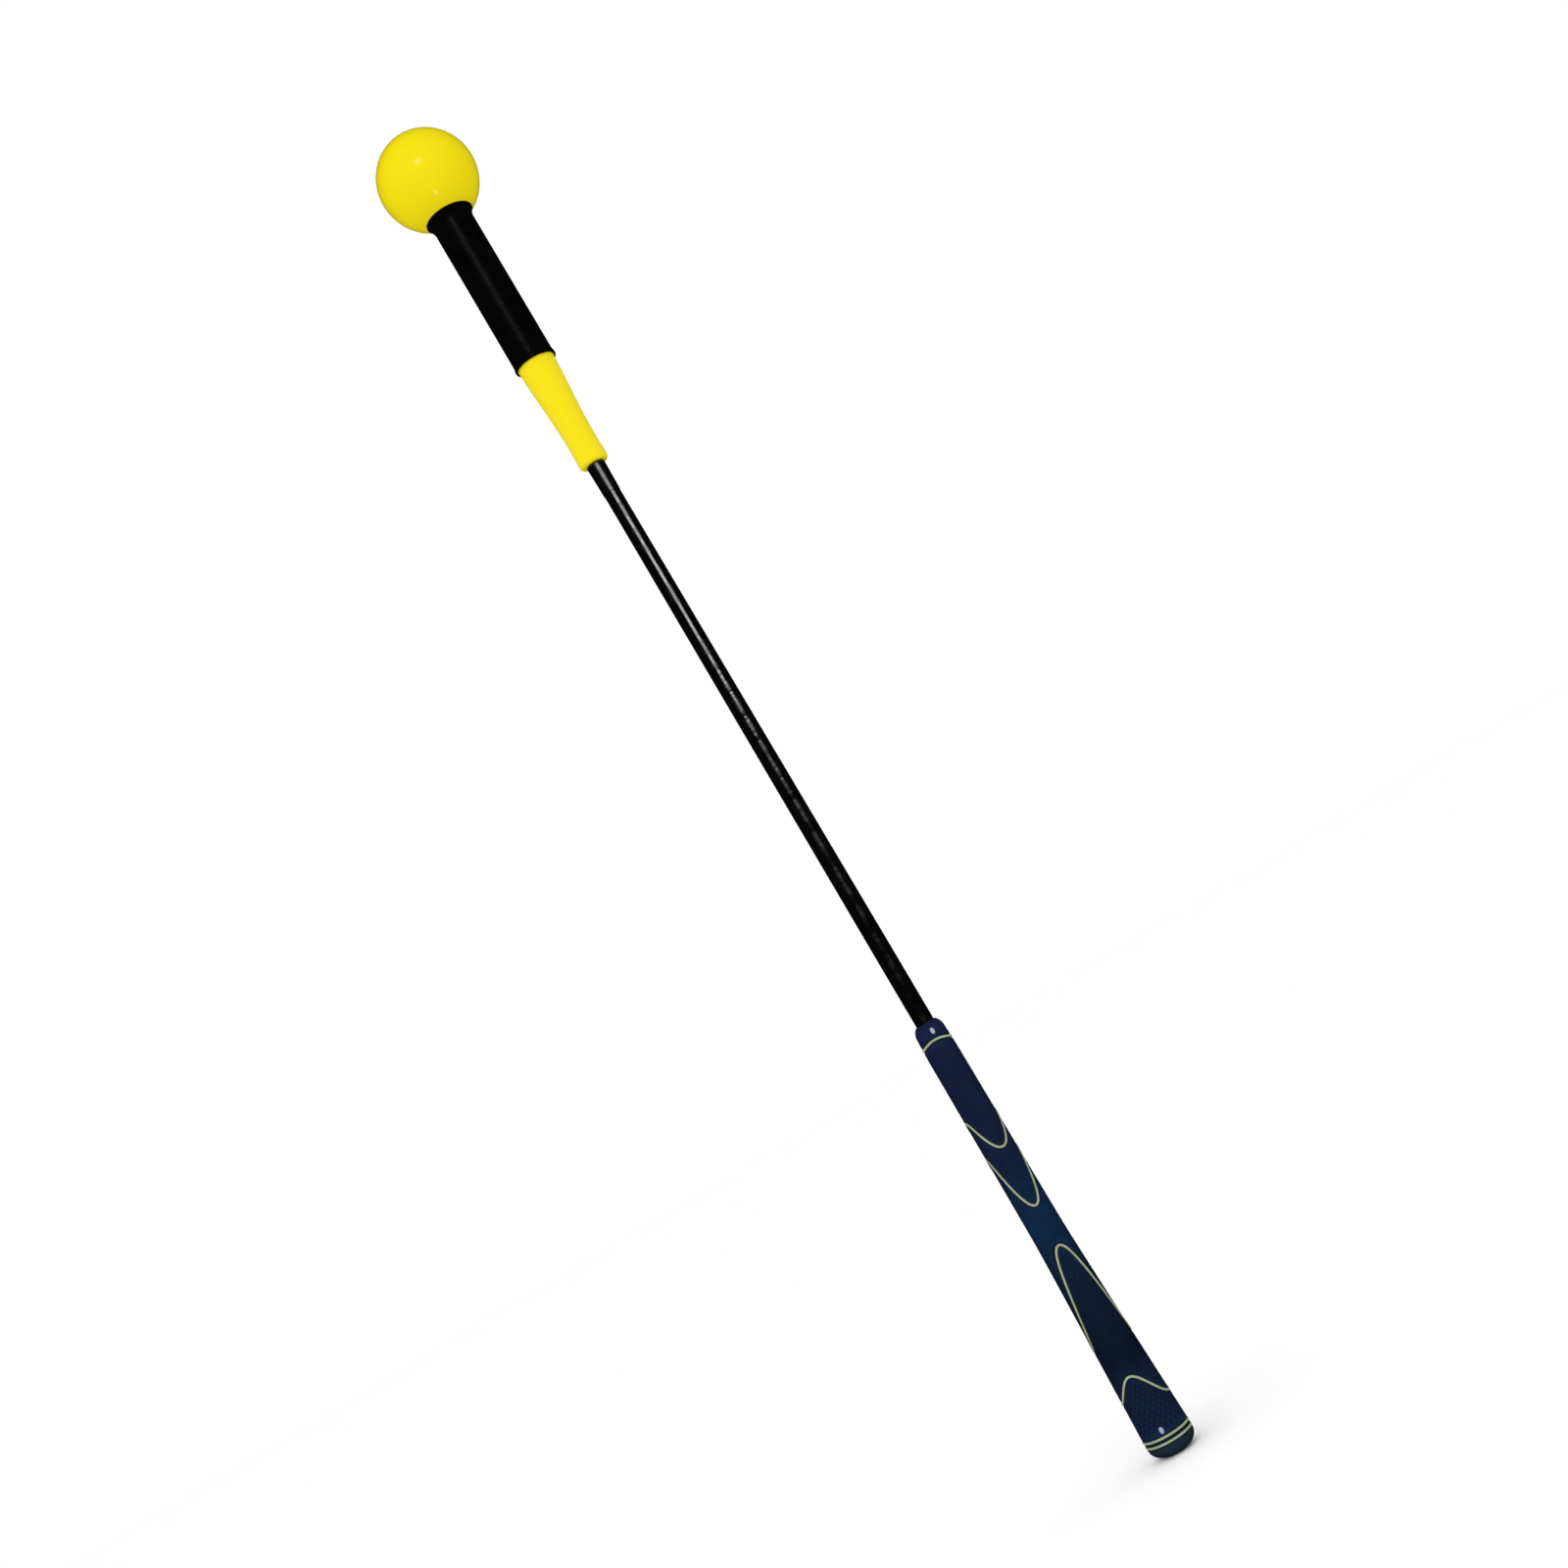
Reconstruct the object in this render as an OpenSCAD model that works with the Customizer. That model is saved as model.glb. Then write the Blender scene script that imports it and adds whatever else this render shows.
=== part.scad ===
// Golf swing trainer stick: a weighted ball head on a flexible fibreglass shaft with a golf grip.
// Millimetres. The stick stands upright on the z axis: the butt end of the grip is at z = 0
// and the ball is on top. The front of the grip's inlaid pattern faces -Y.

/* [Grip] */
// Length of the grip, from the butt end to its mouth
grip_len = 265; // [255:1:275]
// Diameter of the grip at its butt end
butt_d = 27.9; // [27:0.1:28.6]
// Diameter of the slim half of the grip, near its mouth
slim_d = 18.6; // [18.2:0.1:19.5]
// How much the grip widens in each millimetre, along its flared half
flare_slope = 0.0715; // [0.062:0.0005:0.075]
// How much the grip widens in each millimetre, along its slim half
slim_slope = 0.008; // [0.006:0.0005:0.012]
// Length of the end cap's outer skin
cap_len = 7.6; // [7.2:0.1:7.8]
// Diameter of the flat middle of the end cap's domed face
cap_face_d = 9; // [6:0.5:14]
// Diameter of the vent hole through the end cap
vent_d = 2; // [1.6:0.1:3]

/* [Inlaid lines] */
// Width of an inlaid line
line_w = 1.7; // [1.4:0.1:2]
// How far a line stands proud of the rubber
line_proud = 0.3; // [0.2:0.05:0.4]
// Height of the lower ring, beside the end cap
ring_low_z = 8.9; // [8.9:0.1:9.2]
// Height of the second ring
ring_high_z = 12; // [11.6:0.1:13]
// How far the mouth line waves up at the front and back
mouth_wave = 2.6; // [0:0.1:3]
// Distance of the mouth line below the grip's mouth, at the sides of the grip
mouth_line_down = 13.2; // [12.5:0.1:17]

/* [Shaft] */
// Diameter of the shaft where it leaves the grip
shaft_d = 11; // [10.6:0.1:11.2]
// Diameter of the shaft at its tip
tip_d = 10.2; // [9.8:0.05:10.4]
// Free length of shaft between the grip and the yellow sleeve
free_len = 374; // [350:1:400]
// Length of the parallel stretch beside the grip
parallel_len = 44; // [30:1:60]
// Height of the shaft's lower end above the butt end
shaft_low_z = 16; // [15:1:30]
// How far the shaft's tip reaches into the head
tip_in_head = 133; // [128:1:136]

/* [Head] */
// Length of the yellow sleeve that shows below the black tube
sleeve_len = 70.5; // [64:0.5:76]
// Narrowest diameter of the yellow sleeve
sleeve_d = 17.8; // [17:0.1:18.8]
// Diameter of the yellow sleeve where it meets the black tube
sleeve_root_d = 23.3; // [22.6:0.1:23.4]
// Length of the black tube, from its lip to its collar
neck_len = 106; // [104:0.5:110]
// Outer diameter of the black tube
neck_d = 25.5; // [25.4:0.1:25.8]
// Diameter of the collar under the ball
collar_d = 30.3; // [29.5:0.1:31.5]
// Diameter of the ball
ball_d = 61; // [59:0.5:64]
// Diameter of the steel core in the ball
core_d = 44; // [40:0.5:46]

/* [Hidden] */

$fn = 96;
GLUE = 0.05;                             // radial gap left for glue or for a push fit
STEP = 6;                                // spacing of the outline's points along the grip
SHOULDER = 25;                           // length over which the grip narrows to its mouth
SHOULDER_DROP = 1.5;                     // how much narrower the mouth gets over that length
FLARE_BLEND = 0.6;                       // softness of the bend between slim and flared halves
MOUTH_ROUND = [3, 5];                    // width and height of the mouth's rounded edge

// Build-up sleeve and tape under the grip
build_r = 7.6;                           // outer radius of the build-up sleeve
tape_t = 0.15;                           // thickness of the double-sided tape
build_len = 200;                         // length of the build-up sleeve
cap_spigot = 5;                          // length of the cap's spigot inside the grip
build_low_z = cap_len + cap_spigot + 1;
build_high_z = build_low_z + build_len;
grip_bore_r = build_r + tape_t + GLUE;

// Shaft
bond = 0.05;                             // depth to which the bonded ends are ground
sleeve_low_z = grip_len + free_len;
taper_low_z = grip_len + 1 + parallel_len;
taper_high_z = sleeve_low_z - 39;
shaft_high_z = sleeve_low_z + tip_in_head;
shaft_bore_r = tip_d / 2 - bond + 2 * GLUE;

// Head
neck_low_z = sleeve_low_z + sleeve_len;
neck_high_z = neck_low_z + neck_len;
neck_wall = 1;
neck_r = neck_d / 2;
neck_bore_r = neck_r - neck_wall;
lip_r = neck_r + 0.5;                    // the tube's lower edge is rolled out to this radius
ferrule_len = 20;
spigot_len = 22;                         // length of the yellow sleeve inside the tube
ball_r = ball_d / 2;
collar_r = collar_d / 2;
ball_z = neck_high_z + sqrt(ball_r * ball_r - collar_r * collar_r);
weight_low_z = neck_low_z + spigot_len + 0.5;
weight_high_z = neck_low_z + 82;
stud_r = 4;                              // M8 stud
nut_af = 13;                             // across the flats of an M8 jam nut
nut_t = 4;
washer_t = 2;
plug_low_z = weight_high_z + washer_t + nut_t + 0.5;
stud_low_z = weight_high_z - 14;
core_r = core_d / 2;
stud_high_z = ball_z - core_r + 18;

// Lines around the grip: height at front and back, height at the sides, turn, lean to the
// right, and roundness of the tips
LOOPS = [
    [186, 206, 16, 0, 0.3],
    [150, 183, 10, 0, 0.3],
    [125.5, 66.5, 6, 0, 0.55],
    [47.8, 32.5, -9, -2.2, -0.5]
];
MOUTH_LINE = [grip_len - mouth_line_down + mouth_wave, grip_len - mouth_line_down, 0, 0, 0];

// Smooth step from 0 to 1
function ease(t) = let (u = max(0, min(1, t))) u * u * (3 - 2 * u);

// Radius of the grip at a height: a slim half and a flared half, blended where they meet
function slim_dia(z) = slim_d + slim_slope * (grip_len - SHOULDER - z);
function flared_dia(z) = butt_d - flare_slope * max(0, z - ring_high_z);
function shoulder_dip(z) = SHOULDER_DROP * pow(max(0, z - grip_len + SHOULDER) / SHOULDER, 2);
function grip_r(z) =
    let (a = slim_dia(z), b = flared_dia(z))
    (a + b + sqrt((a - b) * (a - b) + FLARE_BLEND * FLARE_BLEND)) / 4 - shoulder_dip(z) / 2;

// Radius of the yellow sleeve at a height
function sleeve_r(z) =
    let (waist = sleeve_low_z + 17, end = neck_low_z + 6, below = max(0, waist - z) / 17)
    (sleeve_d + (sleeve_root_d - sleeve_d) * ease((z - waist) / (end - waist))
        + 0.5 * below * below) / 2;

// Points of an arc about [r, z], from angle a to angle b
function arc(r, z, radius, a, b, n = 8) =
    [for (i = [0:n]) let (t = a + (b - a) * i / n) [r + radius * cos(t), z + radius * sin(t)]];

// A tube between two heights
module tube(outer, inner, low, high) {
    rotate_extrude()
        translate([inner, low])
            square([outer - inner, high - low]);
}

// Notch for a ring of line, as points of the grip's outline from below to above
function notch(z) = [
    [grip_r(z), z - line_w / 2],
    [grip_r(z) - line_w / 2, z - line_w / 2],
    [grip_r(z) - line_w / 2, z + line_w / 2],
    [grip_r(z), z + line_w / 2]
];

// Flat ring of line that fills its notch, with a domed face
module ring(z) {
    r = grip_r(z);
    half = line_w / 2;
    dome = (half * half + line_proud * line_proud) / (2 * line_proud);
    sweep = asin(half / dome);
    color("palegoldenrod")
        rotate_extrude()
            polygon(concat(
                [[r - half, z - half], [r, z - half]],
                arc(r + line_proud - dome, z, dome, -sweep, sweep),
                [[r, z + half], [r - half, z + half]]
            ));
}

// Wavy line around the grip, swept with a round section of which only the top stands proud
LINE_STEPS = 72;
LINE_SIDES = 8;
function wave(angle, soft) =
    let (s = pow(sin(angle), 2)) s * (1 - soft + soft * s);
function wave_rise(angle, soft) =
    sin(2 * angle) * (1 - soft + 2 * soft * pow(sin(angle), 2));
function line_point(row, i, j) =
    let (
        front = row[0],
        side = row[1],
        turn = row[2],
        lean = row[3],
        soft = row[4],
        angle = 360 * i / LINE_STEPS,
        around = 360 * j / LINE_SIDES,
        z = front + (side - front) * wave(angle, soft) + lean * sin(angle),
        radius = line_w / 2,
        rise = (side - front) * wave_rise(angle, soft) + lean * cos(angle),
        tilt = atan(rise / grip_r(z)),
        out = grip_r(z) + line_proud - radius + radius * cos(around),
        bearing = angle + turn - 90 - radius * sin(around) * sin(tilt) * 180 / (PI * grip_r(z))
    )
    [out * cos(bearing), out * sin(bearing), z + radius * sin(around) * cos(tilt)];

module wave_line(row) {
    points = [
        for (i = [0:LINE_STEPS - 1], j = [0:LINE_SIDES - 1])
            line_point(row, i, j)
    ];
    faces = [
        for (i = [0:LINE_STEPS - 1], j = [0:LINE_SIDES - 1])
            let (
                a = i * LINE_SIDES + j,
                b = i * LINE_SIDES + (j + 1) % LINE_SIDES,
                c = ((i + 1) % LINE_STEPS) * LINE_SIDES + j,
                d = ((i + 1) % LINE_STEPS) * LINE_SIDES + (j + 1) % LINE_SIDES
            )
            each [[a, c, b], [b, c, d]]
    ];
    color("palegoldenrod")
        polyhedron(points, faces);
}

// Handle

module end_cap() {
    butt_r = grip_r(cap_len);
    face_r = cap_face_d / 2;
    dome = cap_len - 0.4;
    spigot_r = grip_bore_r - GLUE;
    color("midnightblue")
        rotate_extrude()
            polygon(concat(
                [[vent_d / 2, 0]],
                [for (t = [0:6:90]) [face_r + (butt_r - face_r) * sin(t), dome * (1 - cos(t))]],
                [
                    [butt_r, cap_len],
                    [spigot_r, cap_len],
                    [spigot_r, cap_len + cap_spigot],
                    [vent_d / 2, cap_len + cap_spigot]
                ]
            ));
}

module grip() {
    mouth_z = grip_len - MOUTH_ROUND[1];
    mouth_r = grip_r(mouth_z) - MOUTH_ROUND[0];
    rounded = [
        for (t = [0:10:90])
            [
                mouth_r + MOUTH_ROUND[0] * pow(cos(t), 1.4),
                mouth_z + MOUTH_ROUND[1] * pow(sin(t), 1.4)
            ]
    ];
    shaft_hole_r = shaft_d / 2 + 2 * GLUE;
    first = ring_high_z + line_w;
    color("midnightblue")
        rotate_extrude()
            polygon(concat(
                [[grip_bore_r, cap_len], [grip_r(cap_len), cap_len]],
                notch(ring_low_z),
                notch(ring_high_z),
                [for (z = [first:STEP:mouth_z - 1]) [grip_r(z), z]],
                rounded,
                [
                    [shaft_hole_r, grip_len],
                    [shaft_hole_r, build_high_z + 1],
                    [grip_bore_r, build_high_z + 1]
                ]
            ));
}

module grip_tape() {
    color("tan")
        tube(build_r + tape_t, build_r, build_low_z + 2, build_high_z - 2);
}

module butt_sleeve() {
    color("dimgray")
        tube(build_r, shaft_d / 2 - bond + 2 * GLUE, build_low_z, build_high_z);
}

module lower_ring() {
    ring(ring_low_z);
}

module upper_ring() {
    ring(ring_high_z);
}

module mouth_line() {
    wave_line(MOUTH_LINE);
}

module loop_1() {
    wave_line(LOOPS[0]);
}

module loop_2() {
    wave_line(LOOPS[1]);
}

module loop_3() {
    wave_line(LOOPS[2]);
}

module loop_4() {
    wave_line(LOOPS[3]);
}

// Shaft: a solid fibreglass rod, ground a little thinner where it is bonded at each end

module shaft() {
    butt_r = shaft_d / 2;
    tip_r = tip_d / 2;
    chamfer = 0.6;
    color([0.05, 0.05, 0.05])
        rotate_extrude()
            polygon([
                [0, shaft_low_z],
                [butt_r - bond - chamfer, shaft_low_z],
                [butt_r - bond, shaft_low_z + chamfer],
                [butt_r - bond, grip_len + 1],
                [butt_r, grip_len + 1],
                [butt_r, taper_low_z],
                [tip_r, taper_high_z],
                [tip_r, sleeve_low_z],
                [tip_r - bond, sleeve_low_z],
                [tip_r - bond, shaft_high_z - chamfer],
                [tip_r - bond - chamfer, shaft_high_z],
                [0, shaft_high_z]
            ]);
}

// Head

module tip_ferrule() {
    bore = tip_d / 2 + GLUE;
    low = sleeve_low_z - ferrule_len;
    color([0.08, 0.08, 0.08])
        rotate_extrude()
            polygon([
                [bore, low],
                [bore + 0.2, low],
                [bore + 0.3, low + 8],
                [bore + 0.55, sleeve_low_z - 1.5],
                [bore + 0.55, sleeve_low_z],
                [bore, sleeve_low_z]
            ]);
}

module taper_sleeve() {
    tip_round = 2;
    spigot_r = neck_bore_r - GLUE;
    top = neck_low_z + spigot_len;
    chamfer = 1;
    tip_r = sleeve_r(sleeve_low_z + tip_round);
    color("gold")
        rotate_extrude()
            polygon(concat(
                [[shaft_bore_r, sleeve_low_z]],
                arc(tip_r - tip_round, sleeve_low_z + tip_round, tip_round, -90, 0),
                [for (z = [sleeve_low_z + 5:5:neck_low_z - 2]) [sleeve_r(z), z]],
                [
                    [spigot_r, neck_low_z],
                    [spigot_r, top - chamfer],
                    [spigot_r - chamfer, top],
                    [shaft_bore_r, top]
                ]
            ));
}

module neck_tube() {
    fillet = 10;
    flare = collar_r - neck_r;
    bend = acos(1 - flare / fillet);
    rim_low = neck_high_z - 0.8;
    start = rim_low - fillet * sin(bend);
    lip_round = 1.4;
    color([0.03, 0.03, 0.03])
        difference() {
            rotate_extrude()
                polygon(concat(
                    [[neck_bore_r, neck_low_z + 0.2], [neck_bore_r + 0.3, neck_low_z]],
                    arc(lip_r - 0.6, neck_low_z + 0.6, 0.6, -90, 0, 4),
                    [[lip_r, neck_low_z + lip_round], [neck_r, neck_low_z + 4]],
                    arc(neck_r + fillet, start, fillet, 180, 180 - bend),
                    [
                        [collar_r, neck_high_z],
                        [neck_bore_r, neck_high_z]
                    ]
                ));
            translate([0, 0, ball_z])
                sphere(ball_r);
        }
}

module neck_weight() {
    outer = neck_bore_r - GLUE;
    pocket = shaft_high_z + 1;
    chamfer = 1;
    color("silver")
        difference() {
            rotate_extrude()
                polygon([
                    [shaft_bore_r, weight_low_z],
                    [outer - chamfer, weight_low_z],
                    [outer, weight_low_z + chamfer],
                    [outer, weight_high_z - chamfer],
                    [outer - chamfer, weight_high_z],
                    [0, weight_high_z],
                    [0, pocket],
                    [shaft_bore_r, pocket]
                ]);
            translate([0, 0, stud_low_z - 0.5])
                cylinder(r = stud_r, h = weight_high_z);
        }
}

module neck_plug() {
    outer = neck_bore_r - GLUE;
    color("whitesmoke")
        difference() {
            translate([0, 0, plug_low_z])
                cylinder(r = outer, h = neck_high_z - plug_low_z);
            translate([0, 0, plug_low_z - 1])
                cylinder(r = stud_r + 0.2, h = neck_len);
            translate([0, 0, ball_z])
                sphere(ball_r);
        }
}

module jam_nut() {
    low = weight_high_z + washer_t;
    color("silver")
        difference() {
            translate([0, 0, low])
                cylinder(d = nut_af / cos(30), h = nut_t, $fn = 6);
            translate([0, 0, low - 1])
                cylinder(r = stud_r, h = nut_t + 2);
        }
}

module spring_washer() {
    split = 1.2;
    color("darkgray")
        difference() {
            tube(7.2, stud_r + 0.15, weight_high_z, weight_high_z + washer_t);
            translate([0, -split / 2, weight_high_z - 1])
                cube([10, split, washer_t + 2]);
        }
}

module ball_stud() {
    chamfer = 0.8;
    color("silver")
        rotate_extrude()
            polygon([
                [0, stud_low_z],
                [stud_r - chamfer, stud_low_z],
                [stud_r, stud_low_z + chamfer],
                [stud_r, stud_high_z - chamfer],
                [stud_r - chamfer, stud_high_z],
                [0, stud_high_z]
            ]);
}

module ball_core() {
    color("silver")
        difference() {
            translate([0, 0, ball_z])
                sphere(core_r);
            translate([0, 0, ball_z - core_r - 1])
                cylinder(r = stud_r, h = stud_high_z + 1.5 - ball_z + core_r);
        }
}

module ball_cover() {
    hole_r = stud_r + 0.2;
    color("yellow")
        difference() {
            translate([0, 0, ball_z])
                sphere(ball_r);
            translate([0, 0, ball_z])
                sphere(core_r);
            translate([0, 0, ball_z - ball_d])
                cylinder(r = hole_r, h = ball_d);
        }
}

end_cap();
grip();
grip_tape();
butt_sleeve();
lower_ring();
upper_ring();
mouth_line();
loop_1();
loop_2();
loop_3();
loop_4();
shaft();
tip_ferrule();
taper_sleeve();
neck_tube();
neck_weight();
neck_plug();
jam_nut();
spring_washer();
ball_stud();
ball_core();
ball_cover();
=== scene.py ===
"""Looks of the golf swing trainer stick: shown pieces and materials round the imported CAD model.

The shape functions work in millimetres and the scene is in metres. The stick stands on the z axis with
its butt end on the floor, and the front of the grip's inlaid pattern faces -Y.
"""

import math

import bmesh
import bpy
import numpy as np
from mathutils import Matrix, Vector


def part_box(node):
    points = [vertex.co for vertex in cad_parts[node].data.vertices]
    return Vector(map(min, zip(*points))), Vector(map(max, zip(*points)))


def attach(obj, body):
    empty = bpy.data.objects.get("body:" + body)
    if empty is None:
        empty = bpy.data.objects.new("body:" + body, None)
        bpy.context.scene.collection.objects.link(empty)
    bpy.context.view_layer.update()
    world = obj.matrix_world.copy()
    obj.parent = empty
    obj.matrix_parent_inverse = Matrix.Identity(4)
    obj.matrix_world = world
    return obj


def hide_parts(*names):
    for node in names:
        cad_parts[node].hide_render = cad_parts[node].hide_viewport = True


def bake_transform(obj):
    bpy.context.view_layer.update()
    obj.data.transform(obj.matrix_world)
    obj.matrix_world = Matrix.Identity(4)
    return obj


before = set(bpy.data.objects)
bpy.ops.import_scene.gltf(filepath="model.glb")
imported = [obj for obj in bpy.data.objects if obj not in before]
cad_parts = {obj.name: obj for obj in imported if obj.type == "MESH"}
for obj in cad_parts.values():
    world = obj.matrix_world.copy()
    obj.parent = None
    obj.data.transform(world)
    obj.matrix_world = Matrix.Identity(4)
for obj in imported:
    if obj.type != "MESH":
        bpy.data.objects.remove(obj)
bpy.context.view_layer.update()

MM = 0.001


# Heights and radii of the CAD nodes, in millimetres


def low(node):
    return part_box(node)[0].z / MM


def high(node):
    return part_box(node)[1].z / MM


def radius(node):
    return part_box(node)[1].x / MM


GRIP_LOW, GRIP_HIGH = low("grip"), high("grip")
RING_HEIGHTS = {
    "lower_ring": (low("lower_ring") + high("lower_ring")) / 2,
    "upper_ring": (low("upper_ring") + high("upper_ring")) / 2,
}
SHAFT_LOW, SHAFT_HIGH = low("shaft"), high("shaft")
SLEEVE_LOW, SLEEVE_HIGH = low("taper_sleeve"), high("taper_sleeve")
NECK_LOW = low("neck_tube")
COLLAR_R, LIP_R, NECK_R = radius("neck_tube"), 13.25, 12.75
BALL_R = radius("ball_cover") - 0.02
BALL_Z = high("ball_cover") - BALL_R
COLLAR_Z = BALL_Z - math.sqrt(BALL_R**2 - COLLAR_R**2)

# Profile of the grip. Flared half: diameter at the butt, narrowing for each millimetre, and the height
# where it begins to narrow. Slim half: diameter at its top, widening for each millimetre below, and
# the height of its top. Then the softness of the bend between them, and the shoulder's length and drop.
BUTT_D, FLARE_SLOPE, FLARE_LOW = 27.9, 0.0715, 12
SLIM_D, SLIM_SLOPE, SLIM_HIGH = 18.6, 0.008, 240
FLARE_BLEND = 0.6
SHOULDER, SHOULDER_DROP = 25, 1.5

# Wavy lines round the grip: height at the front and back, height at the sides, turn in degrees,
# lean to the right, and roundness of the tips
WAVES = {
    "mouth_line": (254.4, 251.8, 0, 0, 0),
    "loop_1": (186.0, 206.0, 16, 0, 0.3),
    "loop_2": (150.0, 183.0, 10, 0, 0.3),
    "loop_3": (125.5, 66.5, 6, 0, 0.55),
    "loop_4": (47.8, 32.5, -9, -2.2, -0.5),
}
LINE_R = 0.85  # radius of a line's round section
LINE_PROUD = 0.3  # how far its top stands above the rubber
MOUTH_WIDE, MOUTH_TALL, MOUTH_POWER = 3.0, 5.0, 1.4  # rounded edge of the grip's mouth
SHAFT_HOLE_R = 5.6
GRIP_BORE_R, GRIP_BORE_HIGH = 7.8, 214.6

# Painted highlights: pale dots on the front of the grip where it shows small glints. Height, and turn to
# the right in degrees
GLINT_DOTS = {"mouth_glint": (259.3, 9), "butt_glint": (15.9, -8)}

# The shown rod is cut in two at this height
SPLIT_Z = 433


def ease(t):
    """Smooth step from 0 to 1."""
    t = np.clip(t, 0, 1)
    return t * t * (3 - 2 * t)


def grip_r(z):
    """Outer radius of the grip at a height: a slim half, a flared half, and a shoulder at the mouth."""
    slim = SLIM_D + SLIM_SLOPE * (SLIM_HIGH - z)
    flared = BUTT_D - FLARE_SLOPE * np.maximum(0, z - FLARE_LOW)
    shoulder = SHOULDER_DROP * (np.maximum(0, z - SLIM_HIGH) / SHOULDER) ** 2
    return (slim + flared + np.sqrt((slim - flared) ** 2 + FLARE_BLEND**2)) / 4 - shoulder / 2


def skin_r(z):
    """Radius of the grip's skin, with the mouth's rounded edge."""
    start = GRIP_HIGH - MOUTH_TALL
    up = np.clip((z - start) / MOUTH_TALL, 0, 1)
    edge = (1 - up ** (2 / MOUTH_POWER)) ** (MOUTH_POWER / 2)
    return grip_r(np.minimum(z, start)) - MOUTH_WIDE * (1 - edge)


def sleeve_r(z):
    """Outer radius of the yellow sleeve: a waist near its lower end, and a swell towards the tube."""
    waist_up, waist_d, swell, flare = 17, 17.8, 5.5, 0.5
    waist, end = SLEEVE_LOW + waist_up, NECK_LOW + 6
    below = np.maximum(0, waist - z) / waist_up
    return (waist_d + swell * ease((z - waist) / (end - waist)) + flare * below**2) / 2


def wave_z(wave, bearing):
    """Height of a wavy line at a bearing in radians, counted from +X as the CAD does."""
    front, side, turn, lean, soft = wave
    swing = np.sin(bearing + math.pi / 2 - math.radians(turn))
    return front + (side - front) * swing**2 * (1 - soft + soft * swing**2) + lean * swing


def wave_slope(wave, bearing, z):
    """Rise of a wavy line for each millimetre round the grip."""
    front, side, turn, lean, soft = wave
    angle = bearing + math.pi / 2 - math.radians(turn)
    rise = (side - front) * np.sin(2 * angle) * (1 - soft + 2 * soft * np.sin(angle) ** 2)
    return (rise + lean * np.cos(angle)) / grip_r(z)


def wave_gap(wave, bearing, z):
    """Distance along the rubber from a wavy line."""
    return np.abs(z - wave_z(wave, bearing)) / np.sqrt(1 + wave_slope(wave, bearing, z) ** 2)


def arc(r, z, bend, start, end, steps=10):
    """Points of an arc about (r, z), between two angles in degrees."""
    turns = np.radians(np.linspace(start, end, steps + 1))
    return [(r + bend * math.cos(t), z + bend * math.sin(t)) for t in turns]


# Mesh building


def finish_mesh(name, points, faces, sharp_angle=40):
    """A smooth-shaded object in metres from points in millimetres."""
    mesh = bpy.data.meshes.new(name)
    mesh.from_pydata((np.asarray(points) * MM).tolist(), [], faces)
    shape = bmesh.new()
    shape.from_mesh(mesh)
    bmesh.ops.remove_doubles(shape, verts=shape.verts, dist=1e-8)
    shape.to_mesh(mesh)
    shape.free()
    mesh.shade_smooth()
    mesh.set_sharp_from_angle(angle=math.radians(sharp_angle))
    piece = bpy.data.objects.new(name, mesh)
    bpy.context.collection.objects.link(piece)
    return piece


def spun_faces(rows, sides, on_axis):
    """Faces between the rows of a turned shape. Rows wrap round, except from axis point to axis point."""
    faces = []
    for i in range(rows):
        k = (i + 1) % rows
        if on_axis[i] and on_axis[k]:
            continue
        for j in range(sides):
            m = (j + 1) % sides
            quad = [i * sides + j, i * sides + m, k * sides + m, k * sides + j]
            if on_axis[i]:
                quad.pop(1)
            elif on_axis[k]:
                quad.pop(3)
            faces.append(quad)
    return faces


def turned(name, outline, sides=128, relief=None):
    """A closed outline of (radius, height) points spun round z, up its outside and down its inside."""
    outline = np.array(outline, float)
    bearing = np.arange(sides) / sides * 2 * math.pi + 0 * outline[:, :1]
    r, z = outline[:, :1] + 0 * bearing, outline[:, 1:] + 0 * bearing
    groove = np.zeros_like(r)
    if relief:
        depth, groove = relief(bearing, r, z)
        r = r - depth
    points = np.stack([r * np.cos(bearing), r * np.sin(bearing), z], -1).reshape(-1, 3)
    piece = finish_mesh(name, points, spun_faces(len(outline), sides, outline[:, 0] < 1e-6))
    if relief:
        # How much of a groove each point is, which the grip's material uses for painted shade
        mark(piece, "groove", groove.ravel())
    return piece


def mark(piece, name, values):
    """Stores a number at each vertex, for the material to read."""
    attribute = piece.data.attributes.new(name, "FLOAT", "POINT")
    attribute.data.foreach_set("value", np.asarray(values, np.float32))


def place(piece, body, slot, material, *nodes):
    """Gives a piece its body and material, and says which CAD nodes it stands for. The slot is not used.
    """
    piece.data.materials.append(material)
    if nodes:
        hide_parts(*nodes)
    if body:
        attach(piece, body)
    return piece


# Grip


def diamonds(bearing, z, around, along):
    """Depth, 0 to 1, of two crossing families of grooves: how many round the grip, and their pitch."""
    turns = around * bearing / (2 * math.pi)
    nearest = 1.0
    for lean in (1, -1):
        phase = turns + lean * z / along
        nearest = np.minimum(nearest, np.abs(phase - np.round(phase)))
    return 1 - ease(nearest / 0.2)


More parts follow.
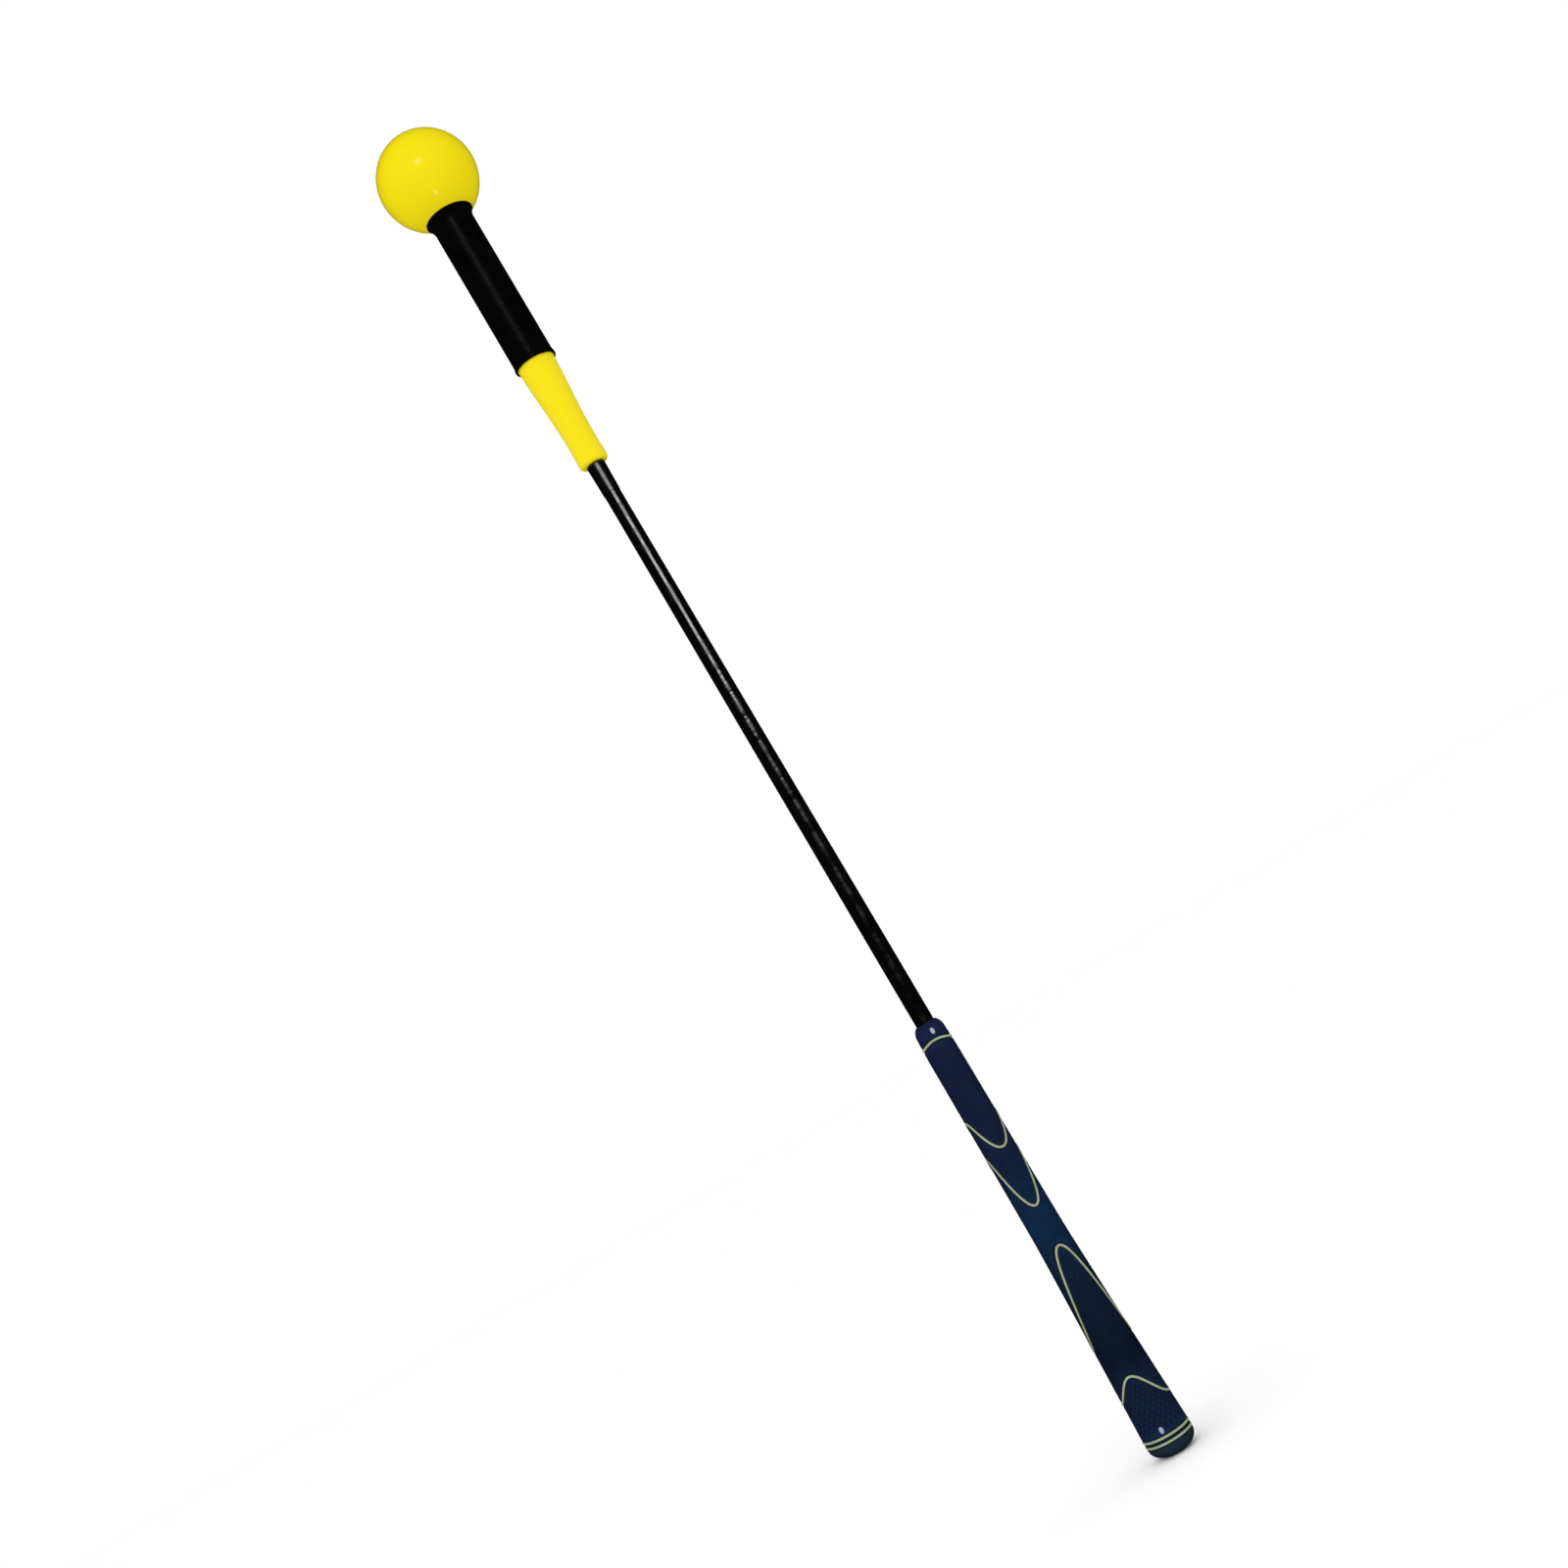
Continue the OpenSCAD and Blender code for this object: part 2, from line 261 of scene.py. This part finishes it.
def grip_relief(bearing, r, z):
    """Depth of the grip's channels and grooves, and how much of a groove each point is, from 0 to 1,
    which the rubber's material darkens as painted shade.
    """
    gap = np.minimum(*(np.abs(z - height) for height in RING_HEIGHTS.values()))
    for wave in WAVES.values():
        gap = np.minimum(gap, wave_gap(wave, bearing, z))
    channel = 1 - ease((gap - 0.95) / 0.75)
    butt = ease((wave_z(WAVES["loop_4"], bearing) - z) / 1.5)
    fine = diamonds(bearing, z, 26, 3.6) * (1 - butt)
    coarse = diamonds(bearing, z, 24, 5.0) * butt
    field = ease((gap - 1.8) / 1.2) * ease((z - 15.5) / 1.5) * ease((251.5 - z) / 2)
    skin = r > grip_r(z) - 0.5
    depth = 0.38 * channel + (0.13 * fine + 0.16 * coarse) * field
    return depth * skin, np.maximum(channel, (0.55 * fine + 0.7 * coarse) * field) * skin


def make_grip(material):
    edge = 0.25
    mouth_z = GRIP_HIGH - MOUTH_TALL
    turns = np.radians(np.linspace(0, 88, 20))
    around_edge = [mouth_z + MOUTH_TALL * math.sin(t) ** MOUTH_POWER for t in turns]
    along_side = np.linspace(GRIP_LOW + edge, mouth_z - 0.3, 480)
    skin = [(skin_r(z), z) for z in [*along_side, *around_edge]]
    outline = (
        [(GRIP_BORE_R, GRIP_LOW), (grip_r(GRIP_LOW) - edge, GRIP_LOW)]
        + skin
        + [(SHAFT_HOLE_R + 0.3, GRIP_HIGH), (SHAFT_HOLE_R, GRIP_HIGH - 0.3)]
        + [(SHAFT_HOLE_R, GRIP_BORE_HIGH), (GRIP_BORE_R, GRIP_BORE_HIGH)]
    )
    piece = turned("grip_body", outline, sides=180, relief=grip_relief)
    return place(piece, "handle", "grip_rubber", material, "grip")


def make_cap(material):
    butt_r, face_r, dome, edge = grip_r(GRIP_LOW), 4.5, GRIP_LOW - 0.4, 0.25
    vent_r, spigot_r, spigot_high = 1.0, 7.75, 12.6
    side = [
        (face_r + (butt_r - face_r) * math.sin(t), dome * (1 - math.cos(t)))
        for t in np.radians(np.arange(0, 91, 5))
    ]
    outline = (
        [(vent_r, spigot_high), (vent_r, 0.25), (vent_r + 0.25, 0)]
        + side
        + [(butt_r, GRIP_LOW - edge), (butt_r - edge, GRIP_LOW), (spigot_r, GRIP_LOW)]
        + [(spigot_r, spigot_high)]
    )
    return place(turned("cap_body", outline, 180), "handle", "grip_rubber", material, "end_cap")


def make_line(node, wave, material, steps=288, sides=12):
    """A bead swept round the grip along a wave; only the top of its section stands proud."""
    i, j = np.meshgrid(np.arange(steps), np.arange(sides), indexing="ij")
    at, around = 2 * math.pi * i / steps, 2 * math.pi * j / sides
    z = wave_z(wave, at)
    tilt = np.arctan(wave_slope(wave, at, z))
    across = LINE_R * np.sin(around)
    out = grip_r(z) + LINE_PROUD - LINE_R + LINE_R * np.cos(around)
    bearing = at - across * np.sin(tilt) / grip_r(z)
    points = np.stack([out * np.cos(bearing), out * np.sin(bearing), z + across * np.cos(tilt)], -1)
    faces = [
        [a * sides + b, ((a + 1) % steps) * sides + b, ((a + 1) % steps) * sides + (b + 1) % sides]
        + [a * sides + (b + 1) % sides]
        for a in range(steps)
        for b in range(sides)
    ]
    piece = finish_mesh(node + "_bead", points.reshape(-1, 3), faces)
    # How far round from the bead's top each point is, which the material uses for painted shade down the
    # sides
    mark(piece, "edge", 0.5 - 0.5 * np.cos(around).ravel())
    return place(piece, "handle", "line_rubber", material, node)


def make_glint_dot(name, height, turn, material):
    """A small pale oval dot on the front of the grip, a painted highlight standing for a small glint
    there.
    """
    half_wide, half_tall, proud, sunk, sides = 1.2, 1.9, 0.06, 0.3, 32
    turns = np.arange(sides) * 2 * math.pi / sides
    rings = [(0.0, proud), (0.55, proud), (0.92, proud), (1.0, 0.0), (1.0, -sunk), (0.0, -sunk)]
    points = []
    for share, lift in rings:
        z = height + share * half_tall * np.sin(turns)
        bearing = share * half_wide * np.cos(turns) / grip_r(height) + math.radians(turn - 90)
        r = skin_r(z) + lift
        points += np.stack([r * np.cos(bearing), r * np.sin(bearing), z], -1).tolist()
    faces = []
    last = len(rings) - 2
    for i in range(last + 1):
        for j in range(sides):
            m = (j + 1) % sides
            quad = [i * sides + j, (i + 1) * sides + j, (i + 1) * sides + m, i * sides + m]
            if i == 0:
                quad.pop(3)
            elif i == last:
                quad.pop(2)
            faces.append(quad)
    return place(finish_mesh(name, points, faces), "handle", "line_rubber", material)


# Shaft

ROD_EDGE = 0.6  # chamfer at the rod's two ends


def shaft_r(z):
    """Radius of the rod: ground a little thinner under the grip and in the head, and tapered between."""
    grip_end_r, tip_r, ground, taper_low, taper_long = 5.5, 5.1, 0.05, 310, 290
    if z < GRIP_HIGH + 1:
        return grip_end_r - ground
    if z > SLEEVE_LOW:
        return tip_r - ground
    return grip_end_r - (grip_end_r - tip_r) * min(1, max(0, (z - taper_low) / taper_long))


def make_shaft(name, start, end, material):
    """A length of the rod, with rings close together along it."""
    steps = round((end - start) / 2.5)
    heights = np.linspace(start, end, steps + 1)
    side = [(shaft_r(z), z) for z in heights]
    if start == SHAFT_LOW:
        side[0:1] = [(shaft_r(start) - ROD_EDGE, start), (shaft_r(start), start + ROD_EDGE)]
    if end == SHAFT_HIGH:
        side[-1:] = [(shaft_r(end), end - ROD_EDGE), (shaft_r(end) - ROD_EDGE, end)]
    outline = [(0, start), *side, (0, end)]
    piece = place(turned(name, outline, 64), None, "shaft_lacquer", material, "shaft")
    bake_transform(piece)
    return piece


# Head


def make_ferrule(material):
    bore, low_z, high_z = 5.15, low("tip_ferrule"), high("tip_ferrule")
    outline = [
        (bore, low_z),
        (bore + 0.12, low_z),
        (bore + 0.2, low_z + 0.15),
        (bore + 0.205, low_z + 0.45),
        (bore + 0.3, low_z + 8),
        (bore + 0.4, low_z + 13),
        (bore + 0.55, high_z - 1.5),
        (bore + 0.55, high_z - 0.3),
        (bore + 0.4, high_z),
        (bore, high_z),
    ]
    return place(turned("ferrule_body", outline), "head", "ferrule", material, "tip_ferrule")


def make_sleeve(material):
    bore, tip, spigot_r = 5.15, 2.0, 11.7
    tip_r = sleeve_r(SLEEVE_LOW + tip)
    outline = (
        [(bore, SLEEVE_LOW)]
        + arc(tip_r - tip, SLEEVE_LOW + tip, tip, -90, 0)
        + [(sleeve_r(z), z) for z in np.linspace(SLEEVE_LOW + tip + 1, NECK_LOW - 0.5, 56)]
        + [(spigot_r, NECK_LOW), (spigot_r, SLEEVE_HIGH - 1)]
        + [(spigot_r - 1, SLEEVE_HIGH), (bore, SLEEVE_HIGH)]
    )
    return place(turned("sleeve_body", outline), "head", "yellow_plastic", material, "taper_sleeve")


def make_tube(material):
    bore, fillet = 11.75, 10.0
    bend = math.degrees(math.acos(1 - (COLLAR_R - NECK_R) / fillet))
    rim_low = COLLAR_Z - 0.8
    flare_z = rim_low - fillet * math.sin(math.radians(bend))
    cup_radii = np.linspace(COLLAR_R - 0.25, bore, 12)
    cup = [(r, BALL_Z - math.sqrt(BALL_R**2 - r**2)) for r in cup_radii]
    outline = (
        [(bore, NECK_LOW + 0.3)]
        + arc(bore + 0.6, NECK_LOW + 0.6, 0.6, 210, 270, 4)
        + arc(LIP_R - 0.6, NECK_LOW + 0.6, 0.6, -90, 0, 6)
        + [(LIP_R, NECK_LOW + 1.4), (LIP_R - 0.1, NECK_LOW + 2.2), (NECK_R + 0.1, NECK_LOW + 3.4)]
        + [(NECK_R, z) for z in np.linspace(NECK_LOW + 4, flare_z - 0.5, 60)]
        + arc(NECK_R + fillet, flare_z, fillet, 180, 180 - bend, 16)
        + [(COLLAR_R, COLLAR_Z - 0.35), (COLLAR_R - 0.1, COLLAR_Z - 0.08)]
        + cup
    )
    return place(turned("tube_body", outline), "head", "black_tube", material, "neck_tube")


def make_ball(material):
    """The ball's cover, closed on top with a shallow moulding gate, and open below for the stud."""
    hole_r, core_r, gate_r = 4.2, 22.0, 2.2
    first = math.degrees(math.asin(hole_r / BALL_R))
    last = math.degrees(math.asin(gate_r / BALL_R))
    outer = arc(0, BALL_Z, BALL_R, -90 + first, 90 - last, 110)
    gate_z = outer[-1][1]
    inner_first = math.degrees(math.asin(hole_r / core_r))
    outline = (
        outer
        + [(gate_r - 0.25, gate_z - 0.12), (0.8, gate_z - 0.14), (0.5, gate_z - 0.02), (0, gate_z)]
        + arc(0, BALL_Z, core_r, 90, -90 + inner_first, 40)
    )
    return place(turned("ball_body", outline, 160), "head", "yellow_plastic", material, "ball_cover")


# Materials


class Finish:
    """A node material built round one Principled shader."""

    def __init__(self, name, **values):
        self.material = bpy.data.materials.new(name)
        self.material.use_nodes = True
        self.nodes = self.material.node_tree.nodes
        self.links = self.material.node_tree.links
        self.shader = self.nodes["Principled BSDF"]
        for socket, value in values.items():
            self.shader.inputs[socket.replace("_", " ")].default_value = value
        self.position = self.nodes.new("ShaderNodeTexCoord").outputs["Object"]

    def set(self, socket, source):
        """Links a source to one of the shader's sockets."""
        self.links.new(source, self.shader.inputs[socket])

    def stretched(self, x, y, z):
        """The position scaled on each axis."""
        node = self.nodes.new("ShaderNodeVectorMath")
        node.operation = "MULTIPLY"
        node.inputs[1].default_value = (x, y, z)
        self.links.new(self.position, node.inputs[0])
        return node.outputs[0]

    def noise(self, scale, detail=3.0, where=None):
        node = self.nodes.new("ShaderNodeTexNoise")
        node.inputs["Scale"].default_value = scale
        node.inputs["Detail"].default_value = detail
        node.inputs["Roughness"].default_value = 0.55
        self.links.new(where or self.position, node.inputs["Vector"])
        return node.outputs["Fac"]

    def cells(self, scale):
        node = self.nodes.new("ShaderNodeTexVoronoi")
        node.inputs["Scale"].default_value = scale
        self.links.new(self.position, node.inputs["Vector"])
        return node.outputs["Distance"]

    def range(self, source, low_in, high_in, low_out, high_out):
        node = self.nodes.new("ShaderNodeMapRange")
        for index, value in enumerate((low_in, high_in, low_out, high_out), start=1):
            node.inputs[index].default_value = value
        self.links.new(source, node.inputs[0])
        return node.outputs[0]

    def ramp(self, source, stops):
        """Colours between stops of (place, (r, g, b))."""
        node = self.nodes.new("ShaderNodeValToRGB")
        elements = node.color_ramp.elements
        for index, (at, colour) in enumerate(stops):
            element = elements[index] if index < 2 else elements.new(at)
            element.position = at
            element.color = (*colour, 1)
        self.links.new(source, node.inputs[0])
        return node.outputs[0]

    def mix(self, factor, first, second, blend="MIX"):
        """Mixes two colours, each a source or (r, g, b), by a factor that is a source."""
        node = self.nodes.new("ShaderNodeMix")
        node.data_type = "RGBA"
        node.blend_type = blend
        self.links.new(factor, node.inputs["Factor"])
        for socket, colour in ((node.inputs[6], first), (node.inputs[7], second)):
            if isinstance(colour, tuple):
                socket.default_value = (*colour, 1)
            else:
                self.links.new(colour, socket)
        return node.outputs[2]

    def stored(self, name):
        """A number stored at each vertex."""
        node = self.nodes.new("ShaderNodeAttribute")
        node.attribute_name = name
        return node.outputs["Fac"]

    def height(self):
        """The position's z."""
        node = self.nodes.new("ShaderNodeSeparateXYZ")
        self.links.new(self.position, node.inputs[0])
        return node.outputs["Z"]

    def add(self, first, second, share=1.0):
        """first + second * share."""
        node = self.nodes.new("ShaderNodeMath")
        node.operation = "MULTIPLY_ADD"
        self.links.new(second, node.inputs[0])
        node.inputs[1].default_value = share
        self.links.new(first, node.inputs[2])
        return node.outputs[0]

    def bump(self, height, depth, strength=1.0):
        """Raises the surface by height times depth, in metres."""
        node = self.nodes.new("ShaderNodeBump")
        node.inputs["Strength"].default_value = strength
        node.inputs["Distance"].default_value = depth
        self.links.new(height, node.inputs["Height"])
        self.set("Normal", node.outputs["Normal"])


def navy_rubber():
    """Satin navy rubber: bluer in the middle of the grip, with painted shade darkening its grooves, and a
    fine grain.
    """
    f = Finish("navy_rubber", Specular_IOR_Level=0.08)
    along = f.range(f.height(), 0, 0.265, 0, 1)
    tone = f.ramp(
        along,
        [
            (0.0, (0.0110, 0.0230, 0.0420)),
            (1.0, (0.0060, 0.0120, 0.0460)),
            (0.029, (0.0100, 0.0210, 0.0400)),
            (0.032, (0.0036, 0.0165, 0.0520)),
            (0.17, (0.0030, 0.0130, 0.0420)),
            (0.21, (0.0018, 0.0080, 0.0250)),
            (0.38, (0.0022, 0.0110, 0.0320)),
            (0.52, (0.0012, 0.0200, 0.0640)),
            (0.60, (0.0018, 0.0170, 0.0560)),
            (0.72, (0.0050, 0.0125, 0.0470)),
            (0.95, (0.0058, 0.0125, 0.0470)),
        ],
    )
    mottle = f.range(f.noise(90, 4), 0.35, 0.7, 0, 1)
    tone = f.mix(mottle, tone, (0.72, 0.76, 0.80), "MULTIPLY")
    # Painted shade: the grooves and the channels beside the lines are darkened in colour as well as cut
    # into the surface
    tone = f.mix(f.stored("groove"), tone, (0.0012, 0.0026, 0.0070))
    f.set("Base Color", tone)
    f.set("Roughness", f.range(f.noise(260, 3), 0.3, 0.75, 0.46, 0.66))
    grain = f.add(f.noise(2600, 2), f.noise(900, 2), 0.6)
    f.bump(grain, 0.00005, 0.6)
    return f.material


def line_rubber():
    """Pale green rubber, with painted shade: darker and more olive down the sides of the bead."""
    f = Finish("line_rubber", Specular_IOR_Level=0.35)
    pale = f.mix(f.range(f.noise(160, 3), 0.35, 0.7, 0, 1), (0.34, 0.39, 0.28), (0.26, 0.31, 0.20))
    # Painted shade down the bead's sides, from the stored share of the way round from its top
    side = f.range(f.stored("edge"), 0.04, 0.3, 0, 1)
    f.set("Base Color", f.mix(side, pale, (0.085, 0.105, 0.020)))
    f.set("Roughness", f.range(f.noise(400, 2), 0.3, 0.7, 0.42, 0.6))
    f.bump(f.noise(1500, 2), 0.00003, 0.5)
    return f.material


def glint_paint():
    """Pale grey paint for the painted highlights on the grip, with a faint grain and worn specks."""
    f = Finish("glint_paint", Specular_IOR_Level=0.3)
    tones = [(0.3, (0.26, 0.28, 0.34)), (0.7, (0.31, 0.34, 0.41))]
    f.set("Base Color", f.ramp(f.noise(1400, 3), tones))
    f.set("Roughness", f.range(f.noise(900, 2), 0.3, 0.7, 0.35, 0.55))
    f.bump(f.noise(2200, 2), 0.00002, 0.5)
    return f.material


def black_lacquer():
    """Gloss black lacquer over glass fibre: long faint streaks, and short patches of uneven gloss."""
    f = Finish("black_lacquer", Specular_IOR_Level=0.5)
    streak = f.noise(1.0, 4, f.stretched(900, 900, 25))
    blacks = [(0.35, (0.0006, 0.0006, 0.0005)), (0.75, (0.0018, 0.0017, 0.0013))]
    f.set("Base Color", f.ramp(streak, blacks))
    f.set("Roughness", f.range(f.noise(1.0, 3, f.stretched(60, 60, 150)), 0.38, 0.62, 0.11, 0.27))
    f.bump(f.add(streak, f.noise(1.0, 2, f.stretched(90, 90, 150)), 4), 0.00008, 0.7)
    return f.material


def black_ferrule():
    """Satin black plastic with faint rings from being turned."""
    f = Finish("black_ferrule", Specular_IOR_Level=0.5)
    rings = f.noise(1.0, 2, f.stretched(20, 20, 2400))
    blacks = [(0.35, (0.0006, 0.0006, 0.0006)), (0.7, (0.0018, 0.0018, 0.0019))]
    f.set("Base Color", f.ramp(rings, blacks))
    f.set("Roughness", f.range(f.noise(500, 2), 0.3, 0.7, 0.23, 0.34))
    f.bump(rings, 0.00001, 0.4)
    return f.material


def yellow_plastic(name, shine, smoothest, roughest):
    """Lemon plastic with slow changes of hue and a faint orange peel."""
    f = Finish(name, Specular_IOR_Level=shine)
    hue = f.ramp(f.noise(14, 2), [(0.3, (0.78, 0.62, 0.0018)), (0.7, (0.79, 0.66, 0.0025))])
    f.set("Base Color", f.mix(f.range(f.noise(420, 3), 0.45, 0.75, 0, 0.35), hue, (0.77, 0.59, 0.002)))
    f.set("Roughness", f.range(f.noise(180, 3), 0.3, 0.7, smoothest, roughest))
    f.bump(f.noise(320, 2), 0.00004, 0.25)
    return f.material


def black_tube():
    """Black shrunk-on rubber tube, a little uneven, with a fine grain."""
    f = Finish("black_tube", Specular_IOR_Level=0.2)
    cloud = f.noise(70, 4)
    blacks = [(0.3, (0.0006, 0.0006, 0.0008)), (0.75, (0.0018, 0.0015, 0.0019))]
    f.set("Base Color", f.ramp(cloud, blacks))
    f.set("Roughness", f.range(f.noise(300, 3), 0.3, 0.7, 0.28, 0.40))
    f.bump(f.add(f.noise(1700, 2), cloud, 1.5), 0.00003, 0.4)
    return f.material


def turned_steel():
    """Bare steel with lathe rings and faint oil stains."""
    f = Finish("turned_steel", Metallic=1.0)
    rings = f.noise(1.0, 3, f.stretched(30, 30, 3000))
    stain = f.range(f.noise(60, 4), 0.4, 0.7, 0, 1)
    f.set("Base Color", f.mix(stain, (0.56, 0.56, 0.57), (0.40, 0.38, 0.35)))
    f.set("Roughness", f.range(rings, 0.3, 0.7, 0.25, 0.45))
    f.bump(rings, 0.00003, 0.6)
    return f.material


def zinc_steel():
    """Bright zinc plating with a soft blue-grey spangle."""
    f = Finish("zinc_steel", Metallic=1.0)
    spangle = f.cells(500)
    f.set("Base Color", f.ramp(spangle, [(0.1, (0.60, 0.62, 0.66)), (0.8, (0.74, 0.74, 0.74))]))
    f.set("Roughness", f.range(f.noise(350, 3), 0.3, 0.7, 0.22, 0.4))
    f.bump(f.noise(1200, 2), 0.00002, 0.4)
    return f.material


def white_nylon():
    """Turned white nylon: waxy, with faint rings."""
    f = Finish("white_nylon", Subsurface_Weight=0.08, Subsurface_Scale=0.002)
    rings = f.noise(1.0, 2, f.stretched(25, 25, 2200))
    f.set("Base Color", f.ramp(rings, [(0.3, (0.76, 0.75, 0.69)), (0.7, (0.84, 0.83, 0.78))]))
    f.set("Roughness", f.range(f.noise(400, 2), 0.3, 0.7, 0.4, 0.55))
    f.bump(rings, 0.00004, 0.5)
    return f.material


def paper_tape():
    """Tan double-sided tape with paper fibres along its length."""
    f = Finish("paper_tape")
    fibre = f.noise(1.0, 5, f.stretched(1400, 1400, 160))
    f.set("Base Color", f.ramp(fibre, [(0.35, (0.55, 0.44, 0.26)), (0.7, (0.74, 0.63, 0.43))]))
    f.set("Roughness", f.range(f.noise(700, 3), 0.3, 0.7, 0.7, 0.9))
    f.bump(fibre, 0.00004, 0.8)
    return f.material


def grey_moulding():
    """Matte grey moulded plastic with a spark-eroded grain and faint flow marks."""
    f = Finish("grey_moulding", Specular_IOR_Level=0.35)
    flow = f.noise(1.0, 3, f.stretched(60, 60, 12))
    f.set("Base Color", f.ramp(flow, [(0.3, (0.085, 0.085, 0.09)), (0.7, (0.13, 0.13, 0.135))]))
    f.set("Roughness", f.range(f.noise(600, 3), 0.3, 0.7, 0.55, 0.75))
    f.bump(f.noise(1800, 2), 0.00004, 0.7)
    return f.material


# Stage


def pale_floor():
    """Smooth pale floor with a barely visible mottle."""
    f = Finish("pale_floor", Specular_IOR_Level=0.1)
    whites = [(0.3, (0.955, 0.955, 0.955)), (0.7, (0.975, 0.975, 0.975))]
    f.set("Base Color", f.ramp(f.noise(3, 3), whites))
    f.set("Roughness", f.range(f.noise(9, 2), 0.3, 0.7, 0.7, 0.85))
    return f.material


def make_floor():
    half, cells = 20.0, 8
    line = np.linspace(-half, half, cells + 1)
    points = [(x, y, 0) for y in line for x in line]
    faces = [
        (a, a + 1, a + cells + 2, a + cells + 1)
        for row in range(cells)
        for a in range(row * (cells + 1), row * (cells + 1) + cells)
    ]
    mesh = bpy.data.meshes.new("floor")
    mesh.from_pydata(points, [], faces)
    mesh.materials.append(pale_floor())
    floor = bpy.data.objects.new("floor", mesh)
    bpy.context.collection.objects.link(floor)
    floor.visible_glossy = False


def make_world():
    """A white surround whose reflections are dim, so that black pieces stay black."""
    shown, lit, mirrored = 1.0, 0.99, 0.015
    world = bpy.data.worlds.new("surround")
    bpy.context.scene.world = world
    world.use_nodes = True
    nodes, links = world.node_tree.nodes, world.node_tree.links
    path = nodes.new("ShaderNodeLightPath")
    strength = None
    for ray, change in (("Is Camera Ray", shown - lit), ("Is Glossy Ray", mirrored - lit)):
        step = nodes.new("ShaderNodeMath")
        step.operation = "MULTIPLY_ADD"
        links.new(path.outputs[ray], step.inputs[0])
        step.inputs[1].default_value = change
        if strength:
            links.new(strength, step.inputs[2])
        else:
            step.inputs[2].default_value = lit
        strength = step.outputs[0]
    background = nodes["Background"]
    background.inputs["Color"].default_value = (1, 1, 1, 1)
    links.new(strength, background.inputs["Strength"])


def aim(thing, position, target, roll=0.0):
    """Puts a camera or light somewhere, looking at a target, rolled by an angle in degrees."""
    position, target = Vector(position), Vector(target)
    back = (position - target).normalized()
    right = Vector((0, 0, 1)).cross(back).normalized()
    up = back.cross(right)
    cos, sin = math.cos(math.radians(roll)), math.sin(math.radians(roll))
    right, up = right * cos - up * sin, up * cos + right * sin
    rotation = Matrix((right, up, back)).transposed().to_4x4()
    thing.matrix_world = Matrix.Translation(position) @ rotation


def add_light(name, kind, position, target, energy, **settings):
    data = bpy.data.lights.new(name, kind)
    data.energy = energy
    for key, value in settings.items():
        setattr(data, key, value)
    light = bpy.data.objects.new(name, data)
    bpy.context.collection.objects.link(light)
    aim(light, position, target)
    return light


def add_box(name, position, target, energy, wide, tall, pieces):
    """A light box that is only mirrored, and only by some of the pieces."""
    box = add_light(name, "AREA", position, target, energy, shape="RECTANGLE", size=wide, size_y=tall)
    box.visible_camera = box.visible_diffuse = False
    mirrors = bpy.data.collections.new(name + "_mirrors")
    for piece in pieces:
        mirrors.objects.link(piece)
    box.light_linking.receiver_collection = mirrors


def make_lights(rod_pieces, ball, tube):
    """A soft sun for shading, a box for the rod's streak, and two for glints on the ball and tube."""
    rod_middle, ball_middle = (0, 0, 0.58), (0, 0, 0.84)
    sun = add_light("soft_sun", "SUN", (-0.45, -2.0, 0.85), (0, 0, 0), 0.95, angle=math.radians(70))
    sun.visible_glossy = False
    add_box("strip_box", (0.32, -1.26, 0.92), rod_middle, 10.0, 0.75, 0.36, rod_pieces)
    add_box("upper_glint", (0.05, -1.20, 1.28), ball_middle, 0.55, 0.28, 0.28, [ball, tube])
    add_box("lower_glint", (0.03, -0.50, 0.10), ball_middle, 0.11, 0.07, 0.14, [ball])


def make_camera():
    target = Vector((0, 0, 0.421))
    tilt, distance = math.radians(7.84), 1.16
    data = bpy.data.cameras.new("camera")
    data.lens, data.sensor_width = 46.95, 36
    data.clip_start, data.clip_end = 0.05, 100
    camera = bpy.data.objects.new("camera", data)
    bpy.context.collection.objects.link(camera)
    offset = Vector((0, -math.cos(tilt), -math.sin(tilt))) * distance
    aim(camera, target + offset, target, roll=30.55)
    bpy.context.scene.camera = camera


# The scene

make_camera()
make_floor()
make_world()
bpy.context.scene.view_settings.view_transform = "Standard"

navy, lacquer, lines = navy_rubber(), black_lacquer(), line_rubber()

make_grip(navy)
make_cap(navy)
for node, height in RING_HEIGHTS.items():
    make_line(node, (height, height, 0, 0, 0), lines)
for node, wave in WAVES.items():
    make_line(node, wave, lines)
paint = glint_paint()
# Painted highlights: pale dots where the grip shows small glints
for name, (height, turn) in GLINT_DOTS.items():
    make_glint_dot(name, height, turn, paint)

lower_rod = make_shaft("shaft_lower", SHAFT_LOW, SPLIT_Z, lacquer)
upper_rod = make_shaft("shaft_upper", SPLIT_Z, SHAFT_HIGH, lacquer)

ferrule = make_ferrule(black_ferrule())
make_sleeve(yellow_plastic("satin_yellow", 0.15, 0.42, 0.55))
tube = make_tube(black_tube())
ball = make_ball(yellow_plastic("glossy_yellow", 0.5, 0.10, 0.14))

make_lights([lower_rod, upper_rod, ferrule], ball, tube)

steel, zinc = turned_steel(), zinc_steel()
inner_materials = {
    "grip_tape": paper_tape(),
    "butt_sleeve": grey_moulding(),
    "neck_weight": steel,
    "neck_plug": white_nylon(),
    "jam_nut": zinc,
    "spring_washer": zinc,
    "ball_stud": zinc,
    "ball_core": steel,
}
for node, material in inner_materials.items():
    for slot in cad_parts[node].material_slots:
        slot.material = material
